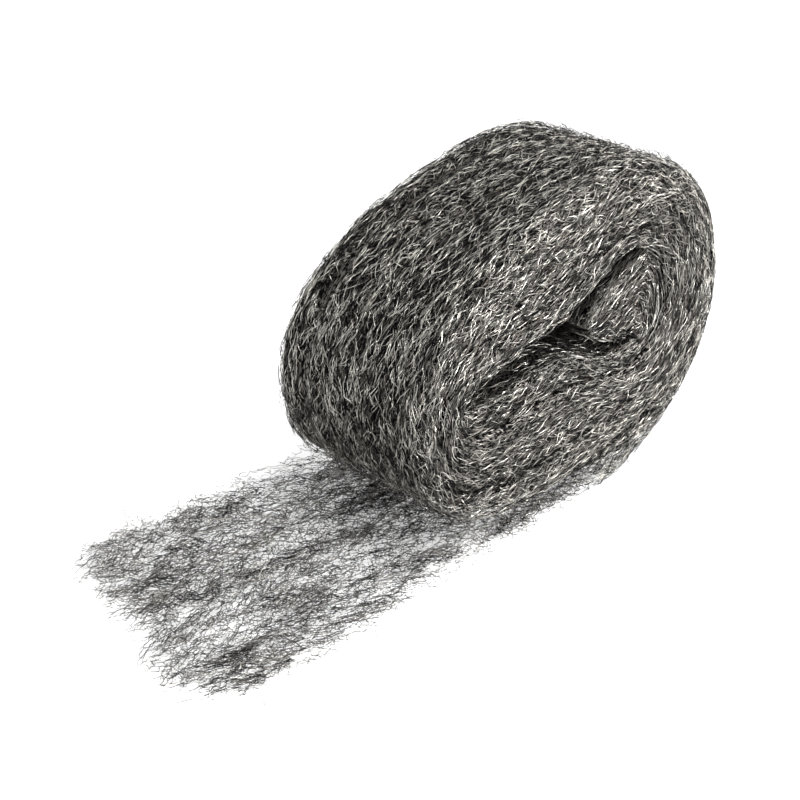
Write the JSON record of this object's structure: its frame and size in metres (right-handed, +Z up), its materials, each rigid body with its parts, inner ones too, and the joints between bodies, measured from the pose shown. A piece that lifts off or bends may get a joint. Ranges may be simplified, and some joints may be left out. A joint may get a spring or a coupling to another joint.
{
  "type": "steel wool pad",
  "caption": "Roll of grey steel wool wound from a single batt, squashed oval on its end, with a loose tail lying flat on the bench.",
  "frame": {"origin": "on the bench, under the middle of the roll", "axes": "+X from the loose tail towards the roll, +Y along the roll's axis away from the end that shows the slit, +Z up"},
  "size_m": [0.1674, 0.0695, 0.0762],
  "materials": {
    "steel_wool": "fine curled grey steel fibres, bright where they catch the light"
  },
  "bodies": {
    "root": {"steel_wool_roll": "steel_wool"}
  },
  "joints": []
}
